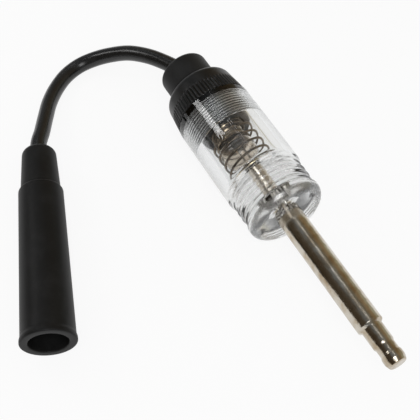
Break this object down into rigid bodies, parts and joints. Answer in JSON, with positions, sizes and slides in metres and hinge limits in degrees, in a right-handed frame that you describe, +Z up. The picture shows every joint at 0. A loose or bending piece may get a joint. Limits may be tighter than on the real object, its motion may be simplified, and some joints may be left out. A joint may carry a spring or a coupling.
{
  "type": "ignition coil tester",
  "caption": "In-line spark tester: clear barrel with lamp and spring, knurled cap with a short lead and plug boot, and a steel probe rod with a snap terminal.",
  "frame": {"origin": "on the tester's axis, at the shoulder where the probe's snap terminal begins", "axes": "+X along the tester's axis, out of the terminal's end; +Z up from the table that it lies on; the boot lies on the -Y side"},
  "size_m": [0.1504, 0.0983, 0.0254],
  "materials": {
    "boot_rubber": "matt moulded rubber with a faint sheen",
    "sleeve_rubber": "matt black sleeve",
    "lead_jacket": "smooth black lead jacket",
    "cap_moulding": "black moulding, knurled",
    "clear_acrylic": "clear turned acrylic, polished",
    "rod_nickel": "nickel plate, drawn, slightly worn",
    "spring_steel": "drawn steel wire",
    "lamp_shell_metal": "nickelled brass, screw thread",
    "lamp_glass": "smoky blown glass",
    "stem_glass": "pressed glass stem",
    "electrode_metal": "plain wire",
    "solder": "solder",
    "insulator": "black insulating glass",
    "screw_nickel": "nickelled screw",
    "washer_brass": "turned brass",
    "core_copper": "stranded copper"
  },
  "bodies": {
    "cap_and_lead": {"cap": "cap_moulding", "strain_relief": "sleeve_rubber", "lead_screw": "screw_nickel", "contact_washer": "washer_brass", "lead": "lead_jacket", "lead_core": "core_copper", "boot": "boot_rubber", "boot_terminal": "washer_brass", "terminal_clip": "spring_steel"},
    "lamp": {"lamp_contact": "solder", "lamp_insulator": "insulator", "lamp_shell": "lamp_shell_metal", "lamp_glass": "lamp_glass", "lamp_stem": "stem_glass", "lamp_electrodes": "electrode_metal"},
    "barrel": {"barrel": "clear_acrylic", "rod": "rod_nickel", "rod_screw": "screw_nickel", "rod_washer": "washer_brass", "spring": "spring_steel"}
  },
  "joints": [
    {"name": "barrel_travel", "type": "slide", "parent": "cap_and_lead", "child": "lamp", "axis": [1, 0, 0], "range_m": [0, 0.009]},
    {"name": "barrel_turn", "type": "hinge", "parent": "lamp", "child": "barrel", "pos_m": [-0.0867, 0, 0], "axis": [1, 0, 0], "range_deg": [0, 3240]}
  ],
  "couplings": [
    {"joint": "barrel_turn", "follows": "barrel_travel", "rad_per_m": 6283.2}
  ]
}
